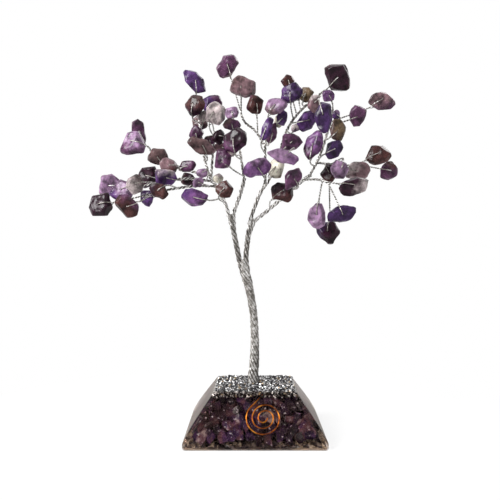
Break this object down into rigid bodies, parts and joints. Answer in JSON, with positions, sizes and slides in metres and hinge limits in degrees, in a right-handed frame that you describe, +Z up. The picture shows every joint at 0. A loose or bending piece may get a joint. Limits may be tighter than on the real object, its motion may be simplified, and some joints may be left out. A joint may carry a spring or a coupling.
{
  "type": "gemstone tree ornament",
  "caption": "Small tree of twisted wire with drilled amethyst chips for leaves, standing on a clear cast pyramid base with stones, a copper spiral and silver granules.",
  "frame": {"origin": "centre of the base's underside", "axes": "+Z up the trunk, -Y towards the front with the copper spiral, +X to the right seen from the front"},
  "size_m": [0.143, 0.06, 0.1767],
  "materials": {
    "clear_resin": "clear cast resin, glossy",
    "cast_stone": "tumbled, dark purple",
    "copper": "bright copper wire",
    "silver_granule": "bright faceted granules",
    "wire": "fine silver-coloured wire, twisted",
    "amethyst": "tumbled and polished"
  },
  "bodies": {
    "stand": {"resin_base": "clear_resin", "cast_chips": "cast_stone", "copper_spiral": "copper", "granule_bed": "silver_granule", "granules": "silver_granule", "trunk": "wire"},
    "left_crown": {"left_limb": "wire", "left_inner_bough": "wire", "inner_stem": "wire", "inner_twigs": "wire", "inner_chips": "amethyst"},
    "left_outer": {"left_outer_bough": "wire", "left_near_twigs": "wire", "left_near_chips": "amethyst", "left_high_stem": "wire", "left_high_twigs": "wire", "left_high_chips": "amethyst", "left_mid_stem": "wire", "left_mid_twigs": "wire", "left_mid_chips": "amethyst", "left_down_stem": "wire", "left_down_twigs": "wire", "left_down_chips": "amethyst", "left_top_stem": "wire", "left_top_twigs": "wire", "left_top_chips": "amethyst", "left_peak_stem": "wire", "left_peak_twigs": "wire", "left_peak_chips": "amethyst"},
    "right_crown": {"right_limb": "wire", "right_inner_bough": "wire", "crown_stem": "wire", "crown_twigs": "wire", "crown_chips": "amethyst", "crown_left_stem": "wire", "crown_left_twigs": "wire", "crown_left_chips": "amethyst", "crown_right_stem": "wire", "crown_right_twigs": "wire", "crown_right_chips": "amethyst"},
    "right_outer": {"right_outer_bough": "wire", "right_near_twigs": "wire", "right_near_chips": "amethyst", "right_top_stem": "wire", "right_top_twigs": "wire", "right_top_chips": "amethyst", "right_far_stem": "wire", "right_far_twigs": "wire", "right_far_chips": "amethyst", "right_low_stem": "wire", "right_low_twigs": "wire", "right_low_chips": "amethyst"}
  },
  "joints": [
    {"name": "left_limb_bend", "type": "hinge", "parent": "stand", "child": "left_crown", "pos_m": [-0.00678, 0, 0.07612], "axis": [0, -1, 0], "range_deg": [0, 12]},
    {"name": "right_limb_bend", "type": "hinge", "parent": "stand", "child": "right_crown", "pos_m": [-0.00394, 0, 0.07669], "axis": [0, 1, 0], "range_deg": [0, 12]},
    {"name": "left_bough_bend", "type": "hinge", "parent": "left_crown", "child": "left_outer", "pos_m": [-0.01185, 0, 0.09665], "axis": [0, -1, 0], "range_deg": [0, 12]},
    {"name": "right_bough_bend", "type": "hinge", "parent": "right_crown", "child": "right_outer", "pos_m": [-0.00008, 0, 0.09447], "axis": [0, 1, 0], "range_deg": [0, 12]}
  ]
}
